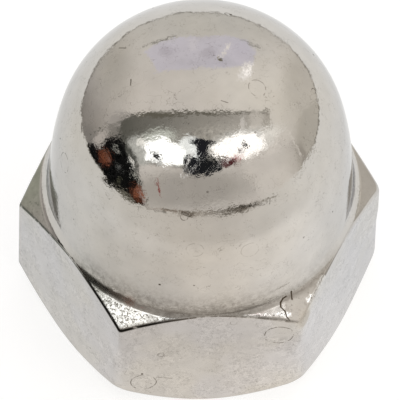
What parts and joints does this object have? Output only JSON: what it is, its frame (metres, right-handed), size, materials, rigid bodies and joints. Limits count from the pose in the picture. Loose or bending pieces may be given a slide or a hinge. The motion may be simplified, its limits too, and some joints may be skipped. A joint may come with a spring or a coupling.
{
  "type": "cap nut",
  "caption": "Domed cap nut: a hexagon nut closed by a ball-shaped dome, with a blind threaded hole that covers the end of a screw or stud.",
  "frame": {"origin": "centre of the bearing face, on the thread axis", "axes": "+Z along the thread axis, from the bearing face to the top of the dome; two corners of the hexagon on the X axis, one flat facing -Y"},
  "size_m": [0.015, 0.013, 0.0152],
  "materials": {
    "nickel_plate": "bright nickel plating with a warm tint, with fine scratches, pits and dried water rings"
  },
  "bodies": {
    "root": {"cap_nut": "nickel_plate"}
  },
  "joints": []
}
